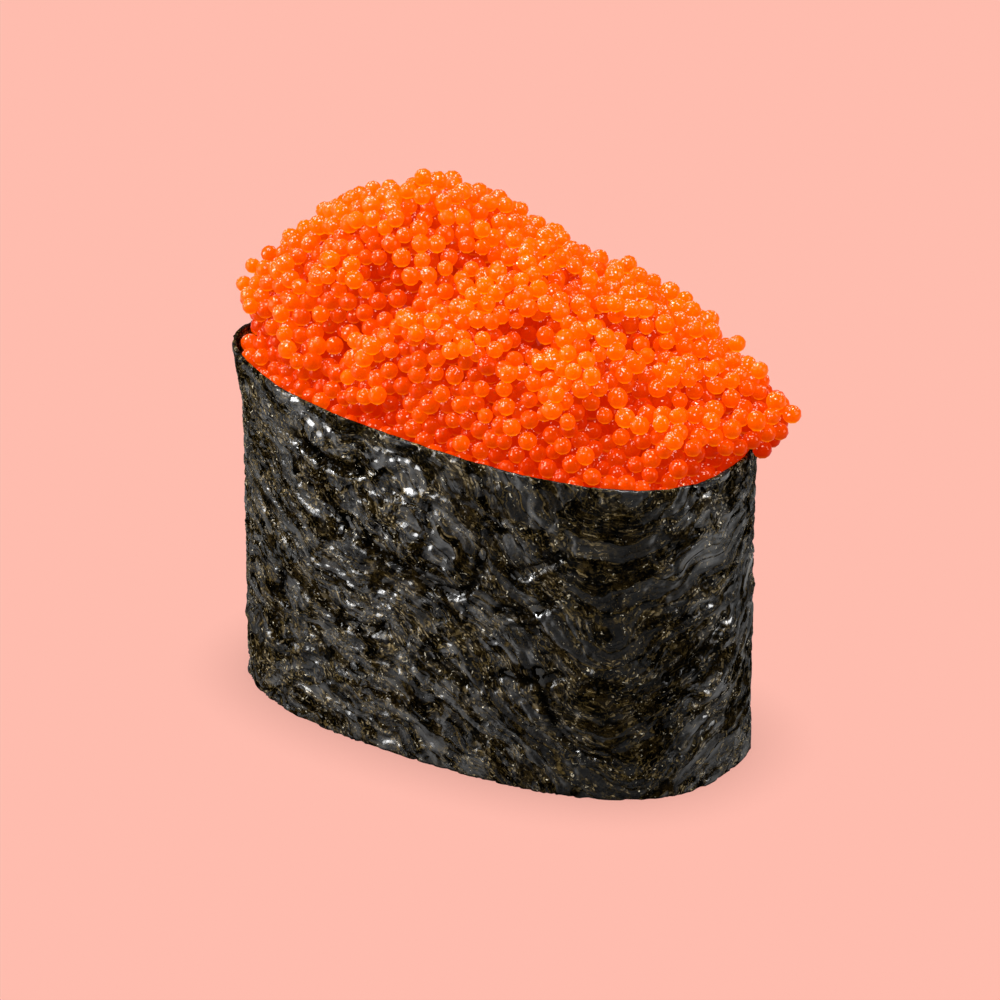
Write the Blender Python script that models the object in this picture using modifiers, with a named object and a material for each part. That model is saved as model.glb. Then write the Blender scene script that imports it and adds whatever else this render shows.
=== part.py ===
"""Gunkan sushi: a strip of nori wound upright round a block of rice and heaped with fish roe.

Run with: blender --background --python part.py
Metres, +Z up, long axis along X. The origin is in the middle of the flat foot.
"""

import math

import bmesh
import bpy
from mathutils import Vector, noise

MM = 0.001
GAP = 0.3 * MM  # clearance between pieces that touch

# The band of nori.
HALF_LENGTH = 26.0 * MM
HALF_WIDTH = 14.2 * MM
SQUARENESS = 2.5  # 2 is an ellipse, more is boxier
BAND_HEIGHT = 32.5 * MM
END_TILT = 1.45 * MM  # the rim stands this much higher at -X and lower at +X
SIDE_TILT = 0.25 * MM
SHEET = 0.5 * MM
LAP_GAP = 0.12 * MM
LAP_START = math.radians(112)  # where the sheet's inner end lies, on the +Y side
LAP_SHARE = 0.085  # share of the girth that the sheet's outer end overlaps
RAMP_SHARE = 0.05  # share of the girth over which it climbs onto its own start
FLARE = 1.0 * MM  # how far the rim leans out at the -X end
FLARE_DEPTH = 7.0 * MM
FLARE_FACING = math.radians(-158)
FLARE_SPREAD = math.radians(30)
OVAL_STEPS = 3000  # fine steps along the outline, from which even spacing is taken
BAND_COLUMNS = 96  # for one turn
BAND_LEVELS = (0.0, 0.3, 0.6, 0.8, 0.88, 0.94, 1.0)

# The rice inside it.
RICE_HEIGHT = 20.0 * MM
RICE_EDGE = 0.8 * MM
RICE_ROUNDING = ((0.0, 1.0), (0.35, 0.4), (1.0, 0.1))  # the lower edge: height and inset, as shares of it
RICE_WALL = (0.25, 0.5, 0.75)  # levels up the side, as shares of the height
RICE_COLUMNS = 64
DENT_SIZE = 4.0 * MM
RICE_DENTS = 0.5 * MM

# The heap of roe. Its ridge runs along X, and each pair is a place and the height above the rim.
ROE_COLUMNS = 88
ROE_ROWS = 24
RIDGE = ((-26, 14.6), (-18, 16.9), (-9, 18.7), (0, 15.9), (9, 13.8), (18, 12.1), (26, 9.8))
# How far the heap leans out over the rim: facing in degrees, spread in degrees, reach in mm.
OVERHANGS = ((28, 46, 5.4), (192, 45, 3.3), (100, 40, 0.9))
LEAN_POWER = 0.7  # below 1 the heap spreads straight off the rim
ROW_POWER = 0.9  # below 1 the rows lie closer together towards the top
EVEN_FOOT = 2.5 * MM  # height above the rim over which the unevenness sets in
# Clumps that stand proud of the heap and hollows between them: place, radius and height in mm.
CLUMPS = (
    ((-7.4, 1.3, 51.4), 2.8, 1.3),
    ((-14.2, -1.7, 49.5), 3.0, 0.8),
    ((-3.6, 5.5, 49.2), 2.6, 0.7),
    ((11.0, 7.0, 44.2), 2.8, 0.4),
    ((-0.9, -10.8, 42.5), 3.2, 1.0),
    ((4.7, -10.6, 41.4), 2.8, 0.8),
    ((14.3, -8.6, 39.5), 3.2, 0.9),
    ((8.0, -4.2, 45.1), 2.4, 0.6),
    ((27.6, 7.6, 34.0), 3.0, 1.5),
    ((-20.0, 7.5, 43.0), 3.4, 0.9),
    ((-6.0, 12.0, 42.0), 3.4, 0.9),
    ((8.0, 12.0, 39.0), 3.2, 0.8),
    ((-6.1, -10.1, 45.0), 3.0, -1.7),
    ((-11.0, -12.0, 40.0), 2.8, -1.3),
    ((-1.9, -6.1, 47.6), 3.4, -1.5),
    ((9.2, -6.7, 43.5), 2.8, -1.3),
    ((17.2, -0.4, 41.4), 2.6, -1.2),
    ((18.0, -9.4, 36.0), 2.6, -1.1),
    ((-13.0, 9.5, 44.0), 3.0, -1.3),
    ((1.0, 11.5, 42.0), 2.8, -1.2),
    ((15.0, 11.0, 38.0), 3.0, -1.2),
)
GRAIN = 0.5 * MM  # unevenness all over the heap
GRAIN_SIZE = 3.6 * MM


def clear_scene():
    for thing in list(bpy.data.objects):
        bpy.data.objects.remove(thing, do_unlink=True)


def smoothstep(low, high, value):
    share = min(max((value - low) / (high - low), 0.0), 1.0)
    return share * share * (3 - 2 * share)


def bump(distance, spread):
    return math.exp(-((distance / spread) ** 2))


def turn_between(first, second):
    """Angle from one facing to another, the short way round."""
    return (first - second + math.pi) % (2 * math.pi) - math.pi


def superellipse(half_length, half_width, angle):
    c, s = math.cos(angle), math.sin(angle)
    power = 2 / SQUARENESS
    x = half_length * math.copysign(abs(c) ** power, c)
    return Vector((x, half_width * math.copysign(abs(s) ** power, s)))


def oval(inset, count, start=0.0):
    """Points and outward normals, evenly spaced along the band's outline pulled in by inset."""
    angles = [start + 2 * math.pi * i / OVAL_STEPS for i in range(OVAL_STEPS + 1)]
    line = [superellipse(HALF_LENGTH - inset, HALF_WIDTH - inset, a) for a in angles]
    runs = [0.0]
    for before, after in zip(line, line[1:]):
        runs.append(runs[-1] + (after - before).length)
    found, k = [], 0
    for i in range(count):
        wanted = runs[-1] * i / count
        while runs[k + 1] < wanted:
            k += 1
        share = (wanted - runs[k]) / (runs[k + 1] - runs[k])
        found.append(line[k].lerp(line[k + 1], share))
    normals = []
    for i in range(count):
        along = found[(i + 1) % count] - found[i - 1]
        normals.append(Vector((along.y, -along.x)).normalized())
    return list(zip(found, normals))


def rim_height(x, y):
    return BAND_HEIGHT - END_TILT * x / HALF_LENGTH + SIDE_TILT * y / HALF_WIDTH


def ridge_height(x):
    """Height of the heap's ridge above the rim at x, in a straight run between the stations of RIDGE."""
    place = min(max(x / MM, RIDGE[0][0]), RIDGE[-1][0])
    for (x0, h0), (x1, h1) in zip(RIDGE, RIDGE[1:]):
        if place <= x1:
            return (h0 + (h1 - h0) * (place - x0) / (x1 - x0)) * MM
    return RIDGE[-1][1] * MM


def finish(name, colour, roughness, coat=0.0):
    """A plain finish in one colour."""
    made = bpy.data.materials.new(name)
    made.use_nodes = True
    shader = made.node_tree.nodes["Principled BSDF"]
    shader.inputs["Base Color"].default_value = (*colour, 1)
    shader.inputs["Roughness"].default_value = roughness
    shader.inputs["Metallic"].default_value = 0.0
    shader.inputs["Coat Weight"].default_value = coat
    made.diffuse_color = (*colour, 1)
    return made


def add_object(name, bm, material, home):
    mesh = bpy.data.meshes.new(name)
    bm.to_mesh(mesh)
    bm.free()
    mesh.materials.append(material)
    mesh.shade_smooth()
    made = bpy.data.objects.new(name, mesh)
    home.objects.link(made)
    return made


def loft(rings, closed):
    """A skin over rings of points, lowest first; each ring runs counter-clockwise seen from above."""
    bm = bmesh.new()
    rows = [[bm.verts.new(p) for p in ring] for ring in rings]
    count = len(rings[0])
    for low, high in zip(rows, rows[1:]):
        for i in range(count if closed else count - 1):
            j = (i + 1) % count
            bm.faces.new((low[i], low[j], high[j], high[i]))
    return bm, rows


def cap_foot(bm, row):
    bm.faces.new(list(reversed(row)))


def cap_top(bm, row):
    """Closes the last ring with a fan round its middle."""
    middle = bm.verts.new(sum((v.co for v in row), Vector()) / len(row))
    for i, corner in enumerate(row):
        bm.faces.new((corner, row[(i + 1) % len(row)], middle))


def flare(facing, level, height):
    """How far the sheet leans out at the rim."""
    side = bump(turn_between(facing, FLARE_FACING), FLARE_SPREAD)
    return FLARE * side * smoothstep(height - FLARE_DEPTH, height, level)


def build_nori(home):
    """One sheet, wound a little more than once, with its end lapped over its start at the back."""
    turn = oval(0.0, BAND_COLUMNS, LAP_START)
    lap_columns = round(BAND_COLUMNS * LAP_SHARE)
    ramp = BAND_COLUMNS * RAMP_SHARE
    rings = []
    for level in BAND_LEVELS:
        ring = []
        for column in range(BAND_COLUMNS + lap_columns + 1):
            spot, normal = turn[column % BAND_COLUMNS]
            lift = smoothstep(BAND_COLUMNS - ramp, BAND_COLUMNS, column) * (SHEET + LAP_GAP)
            height = rim_height(spot.x, spot.y)
            facing = math.atan2(normal.y, normal.x)
            out = spot + normal * (lift + flare(facing, level * height, height))
            ring.append((out.x, out.y, level * height))
        rings.append(ring)
    bm, _ = loft(rings, closed=False)
    made = add_object("nori_band", bm, finish("nori", (0.02, 0.022, 0.016), 0.42), home)
    wall = made.modifiers.new("sheet thickness", "SOLIDIFY")
    wall.thickness = SHEET
    wall.offset = -1
    return made


def build_rice(home):
    """The pressed block of rice that the band is wound round, flat underneath."""
    inset = SHEET + GAP
    levels = [(up * RICE_EDGE, back * RICE_EDGE) for up, back in RICE_ROUNDING]
    levels += [(share * RICE_HEIGHT, 0.0) for share in RICE_WALL]
    levels += [(RICE_HEIGHT - RICE_EDGE, 0.0), (RICE_HEIGHT, RICE_EDGE)]
    rings = []
    for level, rounding in levels:
        ring = []
        for spot, _ in oval(inset + rounding, RICE_COLUMNS):
            place = Vector((spot.x, spot.y, level))
            dent = RICE_DENTS * (0.5 + 0.5 * noise.noise(place / DENT_SIZE))
            keep = 1.0 - dent / HALF_WIDTH
            ring.append((place.x * keep, place.y * keep, level))
        rings.append(ring)
    bm, rows = loft(rings, closed=True)
    cap_foot(bm, rows[0])
    cap_top(bm, rows[-1])
    return add_object("rice", bm, finish("rice", (0.86, 0.83, 0.76), 0.5), home)


def lean_out(normal):
    facing = math.degrees(math.atan2(normal.y, normal.x))
    total = 0.0
    for direction, spread, reach in OVERHANGS:
        off = (facing - direction + 180) % 360 - 180
        total += reach * MM * bump(off, spread)
    return total


def roe_rings():
    """The plug inside the band, then the heap, as rings that close in on the ridge."""
    outline = oval(SHEET + GAP, ROE_COLUMNS)
    foot = RICE_HEIGHT + GAP
    rings = []
    for share in (0.0, 0.5, 1.0):
        ring = []
        for spot, _ in outline:
            top = rim_height(spot.x, spot.y) + GAP
            ring.append((spot.x, spot.y, foot + (top - foot) * share))
        rings.append(ring)
    for row in range(1, ROE_ROWS):
        angle = math.pi / 2 * (row / ROE_ROWS) ** ROW_POWER
        lean = math.sin(2 * angle) ** LEAN_POWER
        ring = []
        for spot, normal in outline:
            out = spot * math.cos(angle) + normal * lean_out(normal) * lean
            rise = ridge_height(out.x) * math.sin(angle)
            ring.append((out.x, out.y, rim_height(out.x, out.y) + GAP + rise))
        rings.append(ring)
    return rings


def roughen(bm):
    """Pushes the clumps out and the hollows in, along the heap's own normals."""
    bm.normal_update()
    moves = []
    for corner in bm.verts:
        above = corner.co.z - rim_height(corner.co.x, corner.co.y)
        hold = smoothstep(GAP, EVEN_FOOT, above)
        push = GRAIN * noise.noise(corner.co / GRAIN_SIZE)
        for place, radius, height in CLUMPS:
            distance = (corner.co - Vector(place) * MM).length
            push += height * MM * bump(distance, radius * MM)
        moves.append(corner.normal * push * hold)
    for corner, move in zip(bm.verts, moves):
        corner.co += move


def build_roe(home):
    """The heap out to its uneven outline, with the plug that fills the band above the rice."""
    bm, rows = loft(roe_rings(), closed=True)
    cap_foot(bm, rows[0])
    cap_top(bm, rows[-1])
    roughen(bm)
    return add_object("roe_heap", bm, finish("roe", (1.0, 0.16, 0.008), 0.16, 0.6), home)


def main():
    clear_scene()
    home = bpy.data.collections.new("gunkan sushi")
    bpy.context.scene.collection.children.link(home)
    build_nori(home)
    build_rice(home)
    build_roe(home)


main()
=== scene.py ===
"""Looks of a gunkan sushi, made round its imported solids.

An oval band of nori wraps a block of pressed rice and is heaped with orange fish roe. Each piece has
its own operator, the sizes and colours are settings, and the sidebar panel lists them all. Lengths
are metres; patterns are worked out in millimetres.
"""

import math
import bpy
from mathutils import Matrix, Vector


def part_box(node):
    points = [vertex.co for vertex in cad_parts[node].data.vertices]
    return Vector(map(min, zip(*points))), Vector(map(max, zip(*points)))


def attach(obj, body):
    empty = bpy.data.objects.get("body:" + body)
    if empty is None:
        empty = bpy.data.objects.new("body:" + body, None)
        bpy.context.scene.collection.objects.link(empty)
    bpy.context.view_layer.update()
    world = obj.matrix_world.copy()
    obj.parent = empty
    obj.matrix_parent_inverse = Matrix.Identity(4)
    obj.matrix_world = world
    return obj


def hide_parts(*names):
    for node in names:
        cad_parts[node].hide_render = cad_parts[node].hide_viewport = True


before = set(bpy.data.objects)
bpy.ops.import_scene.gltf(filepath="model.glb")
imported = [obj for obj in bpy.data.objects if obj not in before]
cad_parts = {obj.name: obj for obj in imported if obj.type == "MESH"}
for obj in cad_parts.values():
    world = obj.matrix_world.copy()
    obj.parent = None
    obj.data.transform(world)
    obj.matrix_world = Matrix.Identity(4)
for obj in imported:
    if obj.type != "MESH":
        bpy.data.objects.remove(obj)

from types import SimpleNamespace

import bmesh
import bpy
import numpy as np
from bpy.props import FloatProperty, FloatVectorProperty, IntProperty, PointerProperty
from mathutils import Euler, Vector, noise
from mathutils.bvhtree import BVHTree
from mathutils.kdtree import KDTree

bl_info = {
    "name": "Gunkan sushi",
    "version": (1, 0, 0),
    "blender": (4, 5, 0),
    "location": "3D View > Sidebar > Gunkan",
    "description": "Makes the nori, rice and roe of a gunkan sushi round its packed solids",
    "category": "Add Mesh",
}

MM = 0.001

# The winding of the nori, as the solid has it.
SQUARENESS = 2.5  # 2 is an ellipse, more is boxier
END_TILT = 1.45 * MM  # the rim stands this much higher at -X and lower at +X
SIDE_TILT = 0.25 * MM
LAP_START = math.radians(112)  # where the sheet's inner end lies
LAP_SHARE = 0.085  # how much of a turn the sheet laps over itself
LAP_GAP = 0.16 * MM
RAMP_SHARE = 0.05  # how much of a turn the sheet takes to climb onto its own start
FLARE = 1.0 * MM  # how far the rim leans out at the end facing FLARE_FACING
FLARE_DEPTH = 7.0 * MM
FLARE_FACING = math.radians(-158)
FLARE_SPREAD = math.radians(30)
OVAL_STEPS = 6000  # fine steps in which the oval is measured
SPLINE_STEPS = 8  # steps between two places of a crease or ridge

# Lengths and widths of the blades of seaweed that the sheet is pressed from, in mm.
WIDE_BLADES = (5.2, 1.05)
SLIM_BLADES = (5.0, 1.15)
SCRAPS = (2.3, 0.55)
BROAD_BLADES = (9.0, 1.7)

# How the blades of seaweed lie in the sheet: a place along it in mm, and their rise there.
LAY = (
    (0, 0.3), (14, -0.5), (28, -0.2), (38, -0.4), (50, -0.3), (58, -0.45), (64, -0.9), (70, -0.9),
    (74, -0.2), (78, 0.5), (84, 0.55), (92, 0.4), (104, -0.3), (118, -0.7), (130, 0.2), (150, 0.4),
)
# Creases pressed into the sheet and ridges standing out of it, each a line of places along it and
# up it, in mm.
CREASES = (
    ((62.9, 23.4), (62.4, 20.6), (60.6, 18.6), (57.2, 18.5), (53.4, 19.8), (49.0, 21.2), (47.4, 22.8)),
    ((47.0, 12.0), (49.6, 11.9), (52.4, 12.9)),
    ((56.6, 11.4), (59.2, 10.6), (61.0, 9.4)),
    ((38.8, 14.2), (38.6, 12.6), (39.4, 10.8)),
    ((66.0, 21.4), (68.4, 22.6), (71.2, 24.6)),
    ((64.8, 17.8), (67.4, 18.0), (70.0, 19.4)),
    ((68.6, 12.4), (69.4, 8.6), (72.0, 5.4), (75.4, 4.2)),
    ((80.8, 12.2), (84.2, 14.0), (87.8, 16.6)),
    ((65.0, 11.4), (68.0, 11.0), (71.0, 12.4)),
    ((41.0, 29.0), (46.0, 27.6), (50.0, 28.0)),
    ((12.0, 24.0), (16.0, 20.0), (17.0, 15.0)),
    ((4.0, 10.0), (9.0, 12.5), (15.0, 11.0)),
    ((102.0, 22.0), (108.0, 20.5), (112.0, 16.0)),
    ((118.0, 9.0), (123.0, 12.0), (128.0, 12.5)),
)
RIDGES = (
    ((72.0, 11.8), (77.0, 14.6), (82.0, 17.2), (87.0, 18.0), (92.0, 17.2)),
    ((84.0, 11.4), (88.0, 15.0), (91.0, 16.6), (95.0, 17.0)),
    ((80.6, 8.0), (84.4, 9.0), (88.6, 12.4)),
    ((64.6, 29.8), (66.2, 27.4), (68.8, 23.8)),
    ((55.0, 27.0), (58.6, 27.2), (61.8, 25.6), (64.0, 22.6), (63.8, 19.8)),
    ((29.0, 6.0), (34.0, 6.9), (39.0, 6.3), (45.0, 8.4)),
    ((58.0, 16.6), (60.4, 13.4), (62.6, 9.4)),
    ((63.0, 8.6), (67.4, 5.4), (72.0, 1.6)),
    ((20.0, 26.0), (21.0, 20.0), (25.0, 16.0)),
    ((106.0, 12.0), (111.0, 9.0), (118.0, 4.0)),
)

# The block of rice: how far its edges are cut back, where they bend, and its faces round.
RICE_EDGE = 0.8 * MM
RICE_BEND = 0.3 * MM
RICE_COLUMNS = 96
# The grains under it: where they are pressed flat, how far above the floor they would lie without
# that, their height over their width, and how many are tried in a square metre.
FOOT_LEVEL = 0.03 * MM
FOOT_GAP = 0.16 * MM
FOOT_POINTS = 64
GRAIN_FLATNESS = 0.62
GRAIN_DENSITY = 4.0e5

# Eggs in places of their own, which the others make room for: the peak of the heap, its tip over
# the far end of the band, and the pocket where the rim leans out, in mm.
SET_EGGS = (
    (-8.44, 0.45, 51.6), (-7.35, 1.3, 51.2), (-6.34, 2.1, 51.2), (-7.3, 0.3, 50.2),
    (28.2, 6.4, 34.6), (27.8, 5.0, 33.3), (27.0, 3.3, 31.95), (27.3, 3.5, 33.6), (27.3, 5.0, 36.2),
    (27.4, 4.2, 35.0), (26.6, 2.1, 33.2), (26.8, 2.5, 35.0), (26.3, 0.5, 33.0), (26.9, 6.4, 35.2),
    (26.8, 6.6, 33.4), (26.9, 5.2, 32.2),
    (-22.8, -4.2, 42.3), (-24.4, -4.7, 40.9), (-25.3, -4.9, 38.9), (-20.4, -4.1, 44.6),
    (-18.0, -1.8, 46.9), (-16.0, -1.3, 48.0), (-4.0, 6.3, 48.6), (1.1, 7.6, 46.1), (10.7, 7.6, 43.8),
    (13.3, 8.9, 42.4), (15.1, 8.7, 42.1), (15.8, 8.2, 41.2), (18.0, 8.4, 40.8), (21.3, 7.9, 39.4),
    (21.3, 7.6, 37.9), (22.8, 7.4, 37.9), (24.4, 6.8, 37.9),
    (-24.2, -5.6, 33.4), (-24.4, -4.0, 34.4), (-23.4, -6.7, 32.6), (-24.3, -4.2, 32.6),
)
# Caves between clumps of eggs, with their radii, in mm.
CAVES = (
    ((-6.1, -10.1, 45.0), 3.0), ((-11.0, -12.0, 40.0), 2.4), ((-1.9, -6.1, 47.6), 3.2),
    ((9.2, -6.7, 43.5), 2.4), ((17.2, -0.4, 41.4), 2.2), ((18.0, -9.4, 36.0), 2.6),
    ((2.5, -13.0, 37.5), 2.2), ((-16.0, -9.0, 42.5), 2.0), ((-13.0, 9.5, 44.0), 3.0),
    ((1.0, 11.5, 42.0), 2.6), ((15.0, 11.0, 38.0), 2.8), ((24.0, 0.0, 38.5), 2.0),
)
HOLLOW_SHIFT = (3.1, 0.4, 7.7)  # keeps the small hollows apart from the rows of eggs
NEIGHBOURHOOD = 4.2 * MM  # how far round an egg the others count
CLUMP = 2.2 * MM  # how far a clump of eggs reaches
SURFACE = 4.0 * MM  # eggs less deep than this make the surface
SET_CLEAR = 2.6  # reach in mm round a set egg in which nothing is carved away
LOWEST_EGG = 3.2 * MM  # how far below the rim's lowest place eggs are looked for
UNDER_RIM = 2.6 * MM  # how far below the rim beside it an egg may lie
BACKING = (1.6, 3.2)  # egg radii behind a set egg at which eggs hold it up
CORE_RIM = 3 * MM  # the core is inset from here upwards, this far below the band's highest place
CORE_FOOT = 8 * MM  # over this height the inset grows
# Eggs in this share are painted wholly in shade.
DARK_SHARE = 0.35  # the share of the eggs that get no light of their own
EGG_DETAIL = 2  # 80 faces an egg
OUTER_SHARE = 0.6  # the share of the eggs, the openest ones, that make the outer piece
# Where most of the lamps' light comes from, which eggs keep from one another: that shade is painted
# into the eggs.
SHINE_FROM = (-0.50, -0.10, 0.86)
# The side of an egg where glitter is painted, standing in for the lamps' highlights: all over the heap,
# and on the back of it as well.
PAINTED_GLITTER_FACING = (-0.12, -0.44, 0.89)
PAINTED_BACK_GLITTER = (0.12, 0.50, 0.86)

# Ways from the heap to the small lamps overhead.
LAMPS = (
    (-0.68, -0.19, 0.71), (-0.44, 0.13, 0.89), (-0.67, -0.61, 0.42), (-0.18, -0.44, 0.88),
    (0.15, 0.07, 0.99), (0.33, -0.49, 0.81), (-0.38, -0.10, 0.92),
)
LAMP_SIZE = 0.036
LIGHT_DISTANCE = 0.5  # from LIT_SPOT to every lamp
LIT_SPOT = (0, 0, 0.03)
# Ways from the heap to the two large low lights, with the lights' sizes.
GLANCE = ((-0.66, -0.72, 0.22), 0.30)
SIDE = ((0.86, 0.16, 0.34), 0.25)
# Where the camera looks: this high over the floor, then turned up and aside by these degrees.
CAMERA_AIM = 16.25 * MM
CAMERA_TURN = (0.5, -0.042)
SENSOR = 36.0  # its width in mm
CLIP = (0.01, 50.0)
FLOOR_RADIUS = 6.0
FRONT = (0.562, -0.827, 0.0)  # level and towards the camera, where the light all round is dimmer


# --- Settings ------------------------------------------------------------------------------------


def length(name, description, default):
    return FloatProperty(
        name=name, description=description, default=default, min=0.0, precision=5,
        subtype="DISTANCE", unit="LENGTH",
    )


def share(name, description, default):
    return FloatProperty(
        name=name, description=description, default=default, min=0.0, max=1.0, subtype="FACTOR"
    )


def amount(name, description, default):
    return FloatProperty(name=name, description=description, default=default, min=0.0)


def angle(name, description, default):
    return FloatProperty(
        name=name, description=description, default=math.radians(default), subtype="ANGLE",
        unit="ROTATION",
    )


def colour(name, description, default):
    return FloatVectorProperty(
        name=name, description=description, default=default, size=3, min=0.0, max=1.0,
        subtype="COLOR",
    )


def number(name, description, default):
    return IntProperty(name=name, description=description, default=default, min=0)


class NoriSettings(bpy.types.PropertyGroup):
    half_length: length("Half length", "Half the band's length outside", 26.0 * MM)
    half_width: length("Half width", "Half the band's width outside", 14.2 * MM)
    height: length("Height", "Height of the band at its middle", 32.5 * MM)
    thickness: length("Thickness", "Thickness of the sheet", 0.42 * MM)
    columns: number("Columns", "Columns of faces in one turn of the sheet", 576)
    rows: number("Rows", "Rows of faces up the sheet", 128)
    wave: length("Wave", "How far the sheet bows in and out", 0.16 * MM)
    fold: length("Folds", "Depth of the folds along the blades", 0.20 * MM)
    blade: length("Blades", "How far the flat blades stand out", 0.09 * MM)
    crumple: length("Crumple", "Fine unevenness of the sheet", 0.12 * MM)
    crease: length("Creases", "Depth of the single creases", 0.44 * MM)
    ridge: length("Ridges", "Height of the single ridges", 0.26 * MM)
    rim_wear: length("Rim wear", "How uneven the cut edge is", 0.14 * MM)
    # The films' grey is partly their gloss and partly painted sheen.
    blade_and_sheen_colour: colour("Blades", "Colour of the flat blades", (0.021, 0.0205, 0.0205))
    # The gaps' own dark colour, also painted into the creases as shade.
    gap_and_shade_colour: colour("Gaps", "Colour between the blades", (0.0009, 0.0008, 0.0005))
    # Painted glints: the finest bright bits stand in for the lamps' glints on the sheet.
    painted_glint_colour: colour("Sparks", "Colour of the finest bright bits", (0.85, 0.75, 0.55))
    rim_colour: colour("Rims", "Colour of the films' dry rims", (0.15, 0.10, 0.033))
    olive_colour: colour("Olive", "Colour of the thin places", (0.018, 0.0110, 0.0030))
    vein_colour: colour("Veins", "Colour of the web of veins", (0.115, 0.078, 0.024))
    fleck_colour: colour("Flecks", "Colour of the dry flecks", (0.34, 0.25, 0.12))


class RiceSettings(bpy.types.PropertyGroup):
    grain_length: length("Grain length", "Length of a cooked grain", 6.0 * MM)
    grain_width: length("Grain width", "Width of a cooked grain", 2.7 * MM)
    inset: length("Core inset", "How far the core lies inside the grains", 0.9 * MM)
    apart: length("Apart", "Least distance between two grains", 2.5 * MM)
    seed: number("Seed", "Seed of the grains' places", 5)
    grain_colour: colour("Grain", "Colour of the grains", (0.80, 0.76, 0.66))


class RoeSettings(bpy.types.PropertyGroup):
    egg: length("Egg", "Mean radius of an egg", 0.84 * MM)
    spread: share("Spread", "How much the eggs differ in size", 0.07)
    uneven: share("Uneven", "How far the eggs are from round", 0.07)
    crowding: share("Crowding", "Nearest that two eggs start, as a share of two radii", 0.77)
    touch: share("Touch", "How near two eggs end up, as a share of two radii", 0.88)
    rounds: number("Rounds", "Rounds of jostling", 10)
    tries: number("Tries", "Places tried for the eggs", 120000)
    proud: length("Proud", "How far the eggs may stand out of the heap's outline", 0.45 * MM)
    layers: length("Depth", "Depth of the eggs over the core", 3.9 * MM)
    cave: length("Caves", "Depth of the caves", 2.0 * MM)
    chain: length("Chains", "How far the rows of eggs stand out", 1.7 * MM)
    core_inset: length("Core inset", "How far the core lies inside the heap", 5.0 * MM)
    seed: number("Seed", "Seed of the eggs' places", 11)
    # Lit and shaded copies of the eggs' one colour: the first for eggs painted in light, the second for
    # eggs painted in shade deep in the heap.
    painted_lit_colour: colour("Ripe", "Colour of the eggs on the outside", (0.50, 0.042, 0.0))
    painted_shade_colour: colour("Deep", "Colour of the eggs deep in the heap", (0.24, 0.010, 0.0))
    # Painted crescent: an egg's lower side is painted brighter and yellower, as if light gathered
    # there, in its colour and in its glow.
    painted_glow_colour: colour("Glow", "Colour of an egg's lower side", (0.50, 0.12, 0.0))
    # Painted glow: the eggs give off light of their own, standing in for light passing through them,
    # dim and red deep in the heap and bright on the outside.
    painted_deep_glow: colour("Ember", "Light that eggs deep in the heap pass on", (0.40, 0.011, 0.0))
    painted_outer_glow: colour("Lit", "Light that eggs on the outside pass on", (0.85, 0.100, 0.0))
    # Painted crescent, in the glow.
    painted_crescent: colour("Crescent", "Light gathered in an egg's lower side", (0.90, 0.29, 0.0))
    # Painted glitter: bright specks painted on each egg's upper side, standing in for the highlights of
    # the lamps.
    painted_glitter: colour("Glitter", "Light of the lamps in the grains of an egg's skin", (1.0, 0.72, 0.56))


class StageSettings(bpy.types.PropertyGroup):
    azimuth: angle("Azimuth", "How far round the camera stands", 34.2)
    elevation: angle("Elevation", "How far the camera looks down", 25.0)
    distance: length("Distance", "From the camera to the middle of the band", 517.4 * MM)
    lens: amount("Lens", "Focal length in millimetres", 198.0)
    floor_colour: colour("Floor", "Colour of the floor and backdrop", (1.0, 0.503, 0.423))
    contact: length("Contact", "Reach of the shade at the object's foot", 7 * MM)
    shade: share("Shade", "How light the floor stays at the object's foot", 0.62)
    key: amount("Key light", "Strength of the main light", 6.6)
    glance: amount("Glancing light", "Strength of the low light from the left", 1.9)
    side: amount("Side light", "Strength of the light from the right", 1.5)
    fill: amount("Fill light", "Strength of the light all round", 0.42)


# --- Node trees ----------------------------------------------------------------------------------


class Wire:
    """One output in a node tree. Arithmetic on wires adds Math nodes to the tree."""

    def __init__(self, board, socket):
        self.board, self.socket = board, socket

    def math(self, operation, *values):
        return self.board.node("ShaderNodeMath", {"operation": operation}, values)

    def also(self, output):
        """Another output of the node that this wire comes from."""
        return Wire(self.board, find_socket(self.socket.node.outputs, output))

    def at_least(self, other):
        return self.math("MAXIMUM", self, other)

    def __abs__(self):
        return self.math("ABSOLUTE", self)

    def __add__(self, other):
        return self.math("ADD", self, other)

    def __sub__(self, other):
        return self.math("SUBTRACT", self, other)

    def __rsub__(self, other):
        return self.math("SUBTRACT", other, self)

    def __mul__(self, other):
        return self.math("MULTIPLY", self, other)

    def __truediv__(self, other):
        return self.math("DIVIDE", self, other)

    def __rtruediv__(self, other):
        return self.math("DIVIDE", other, self)

    def __pow__(self, other):
        return self.math("POWER", self, other)

    __radd__ = __add__
    __rmul__ = __mul__


def find_socket(sockets, key):
    """A socket in use, by its place among those in use or by its name."""
    used = [s for s in sockets if s.enabled]
    return used[key] if isinstance(key, int) else next(s for s in used if s.name == key)


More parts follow.
